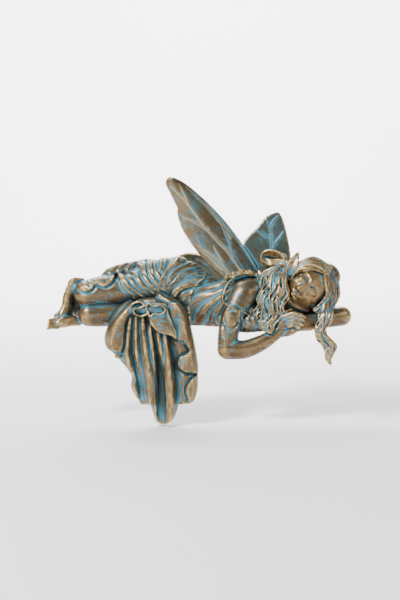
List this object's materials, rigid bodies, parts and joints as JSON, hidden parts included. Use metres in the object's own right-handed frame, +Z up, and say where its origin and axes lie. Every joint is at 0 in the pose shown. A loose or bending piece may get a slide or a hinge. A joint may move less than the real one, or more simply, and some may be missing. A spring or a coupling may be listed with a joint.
{
  "type": "sleeping fairy ledge statue",
  "caption": "A cast statue of a winged fairy asleep on her side, head on her folded arms, her skirt hanging down over the edge of the ledge she lies on.",
  "frame": {"origin": "on the flat underside, in the middle of the face that rests on the ledge", "axes": "+X towards the head, +Y towards the back of the ledge, +Z up; the skirt hangs down at -Y"},
  "size_m": [0.4173, 0.1285, 0.3367],
  "materials": {
    "bronzed_resin": "antique bronze with pale gold on the raised edges and turquoise verdigris in the recesses, satin"
  },
  "bodies": {
    "root": {"sleeping_fairy": "bronzed_resin"}
  },
  "joints": []
}
